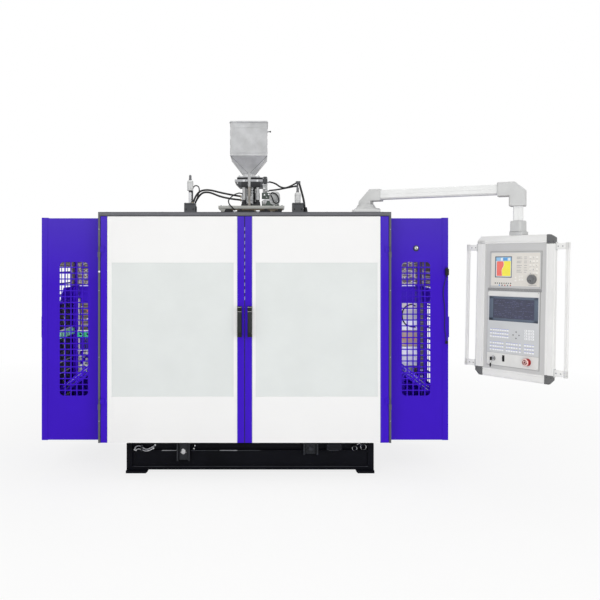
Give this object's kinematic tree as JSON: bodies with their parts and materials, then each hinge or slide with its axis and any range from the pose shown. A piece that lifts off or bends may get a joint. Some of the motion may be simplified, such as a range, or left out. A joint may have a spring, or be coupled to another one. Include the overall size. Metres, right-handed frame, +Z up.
{
  "type": "extrusion blow moulding machine",
  "caption": "Shuttle-type extrusion blow moulder with violet guards, white windowed doors, roof-mounted hopper and blow pins, and a swivelling control panel on a boom.",
  "frame": {"origin": "centre of the rectangle of the base frame's anchor holes, on the floor", "axes": "+X to the viewer's right along the door front, +Y from the doors to the rear, +Z up"},
  "size_m": [3.7213, 2.9939, 3],
  "materials": {
    "base_black": "satin",
    "frame_grey": "satin",
    "guard_violet": "semi-gloss",
    "skin_white": "gloss",
    "opal_window": "matt",
    "handle_black": "matt",
    "rail_steel": "ground",
    "machine_grey": "satin",
    "clamp_white": "satin",
    "mould_alloy": "machined",
    "head_steel": "dull",
    "barrel_steel": "satin",
    "drive_blue": "satin",
    "hopper_steel": "brushed",
    "block_dark": "satin",
    "stand_light": "satin",
    "cylinder_chrome": "polished",
    "valve_grey": "satin",
    "pin_chrome": "polished",
    "cabinet_grey": "textured",
    "tank_grey": "satin",
    "arm_white": "satin",
    "panel_alloy": "satin",
    "panel_beige": "matt",
    "screen_dark": "gloss",
    "knob_grey": "matt",
    "stop_red": "gloss",
    "key_steel": "polished",
    "switch_black": "matt",
    "hose_rubber": "matt"
  },
  "bodies": {
    "machine": {"base_frame": "base_black", "machine_frame": "machine_grey", "portal_frame": "frame_grey", "left_wing_cover": "guard_violet", "right_wing_cover": "guard_violet", "wing_frames": "guard_violet", "carriage_rails": "rail_steel", "die_head": "head_steel", "extruder_barrel": "barrel_steel", "extruder_drive": "drive_blue", "hopper": "hopper_steel", "hopper_neck": "block_dark", "parison_stand": "stand_light", "parison_cylinder": "cylinder_chrome", "servo_valve": "valve_grey", "blow_cylinders": "block_dark", "electrical_cabinet": "cabinet_grey", "hydraulic_unit": "tank_grey", "rear_guard": "guard_violet", "arm_pedestal": "arm_white", "door_switch": "switch_black", "left_upper_hose": "hose_rubber", "left_lower_hose": "hose_rubber", "left_loop_hose": "hose_rubber", "right_upper_hose": "hose_rubber", "right_lower_hose": "hose_rubber", "right_drop_hose": "hose_rubber", "switch_cable": "hose_rubber"},
    "left_door": {"left_door": "guard_violet", "left_door_skin": "skin_white", "left_door_window": "opal_window", "left_door_handle": "handle_black"},
    "right_door": {"right_door": "guard_violet", "right_door_skin": "skin_white", "right_door_window": "opal_window", "right_door_handle": "handle_black"},
    "left_side_door": {"left_side_door": "guard_violet"},
    "right_side_door": {"right_side_door": "guard_violet"},
    "cabinet_door": {"cabinet_door": "cabinet_grey"},
    "left_carriage": {"left_carriage": "machine_grey"},
    "left_front_clamp": {"left_front_platen": "clamp_white", "left_front_mould": "mould_alloy"},
    "left_rear_clamp": {"left_rear_platen": "clamp_white", "left_rear_mould": "mould_alloy"},
    "right_carriage": {"right_carriage": "machine_grey"},
    "right_front_clamp": {"right_front_platen": "clamp_white", "right_front_mould": "mould_alloy"},
    "right_rear_clamp": {"right_rear_platen": "clamp_white", "right_rear_mould": "mould_alloy"},
    "left_pin": {"left_blow_pin": "pin_chrome"},
    "right_pin": {"right_blow_pin": "pin_chrome"},
    "gate": {"hopper_gate": "rail_steel"},
    "arm": {"control_arm": "arm_white"},
    "panel": {"panel_housing": "panel_alloy", "panel_face": "panel_beige", "panel_screens": "screen_dark", "panel_handles": "panel_alloy"},
    "knob": {"panel_knob": "knob_grey"},
    "stop_button": {"emergency_stop": "stop_red"},
    "key": {"key_switch": "key_steel"}
  },
  "joints": [
    {"name": "left_door_hinge", "type": "hinge", "parent": "machine", "child": "left_door", "pos_m": [-1.088, -0.909, 1.1], "axis": [0, 0, -1], "range_deg": [0, 105]},
    {"name": "right_door_hinge", "type": "hinge", "parent": "machine", "child": "right_door", "pos_m": [1.088, -0.909, 1.1], "axis": [0, 0, 1], "range_deg": [0, 105]},
    {"name": "left_side_door_hinge", "type": "hinge", "parent": "machine", "child": "left_side_door", "pos_m": [-1.559, 0.102, 1.1], "axis": [0, 0, 1], "range_deg": [-95, 0]},
    {"name": "right_side_door_hinge", "type": "hinge", "parent": "machine", "child": "right_side_door", "pos_m": [1.559, 0.102, 1.1], "axis": [0, 0, -1], "range_deg": [-95, 0]},
    {"name": "cabinet_door_hinge", "type": "hinge", "parent": "machine", "child": "cabinet_door", "pos_m": [-1.009, 1.242, 1], "axis": [0, 0, 1], "range_deg": [0, 110]},
    {"name": "left_shuttle", "type": "slide", "parent": "machine", "child": "left_carriage", "axis": [1, 0, 0], "range_m": [0, 0.48]},
    {"name": "right_shuttle", "type": "slide", "parent": "machine", "child": "right_carriage", "axis": [1, 0, 0], "range_m": [-0.433, 0]},
    {"name": "left_clamp_close", "type": "slide", "parent": "left_carriage", "child": "left_front_clamp", "axis": [0, 1, 0], "range_m": [0, 0.1398]},
    {"name": "left_clamp_follow", "type": "slide", "parent": "left_carriage", "child": "left_rear_clamp", "axis": [0, 1, 0], "range_m": [-0.1398, 0]},
    {"name": "right_clamp_close", "type": "slide", "parent": "right_carriage", "child": "right_front_clamp", "axis": [0, 1, 0], "range_m": [0, 0.1398]},
    {"name": "right_clamp_follow", "type": "slide", "parent": "right_carriage", "child": "right_rear_clamp", "axis": [0, 1, 0], "range_m": [-0.1398, 0]},
    {"name": "left_pin_stroke", "type": "slide", "parent": "machine", "child": "left_pin", "axis": [0, 0, -1], "range_m": [0, 0.104]},
    {"name": "right_pin_stroke", "type": "slide", "parent": "machine", "child": "right_pin", "axis": [0, 0, 1], "range_m": [0, 0.104]},
    {"name": "hopper_gate_slide", "type": "slide", "parent": "machine", "child": "gate", "axis": [-1, 0, 0], "range_m": [0, 0.118]},
    {"name": "arm_swivel", "type": "hinge", "parent": "machine", "child": "arm", "pos_m": [0.929, -0.77, 2.05], "axis": [0, 0, 1], "range_deg": [-60, 15]},
    {"name": "panel_swivel", "type": "hinge", "parent": "arm", "child": "panel", "pos_m": [1.91966, -1.26177, 1.85], "axis": [0, 0, 1], "range_deg": [-60, 60]},
    {"name": "knob_turn", "type": "hinge", "parent": "panel", "child": "knob", "pos_m": [1.95486, -1.41234, 1.49621], "axis": [-0.794, -0.607, 0.0332], "continuous": true},
    {"name": "stop_press", "type": "slide", "parent": "panel", "child": "stop_button", "axis": [0.794, 0.607, -0.0332], "range_m": [0, 0.006]},
    {"name": "key_turn", "type": "hinge", "parent": "panel", "child": "key", "pos_m": [1.76328, -1.19251, 0.93352], "axis": [-0.794, -0.607, 0.0332], "range_deg": [0, 90]}
  ],
  "couplings": [
    {"joint": "left_clamp_follow", "follows": "left_clamp_close", "ratio": -1},
    {"joint": "right_clamp_follow", "follows": "right_clamp_close", "ratio": -1}
  ]
}
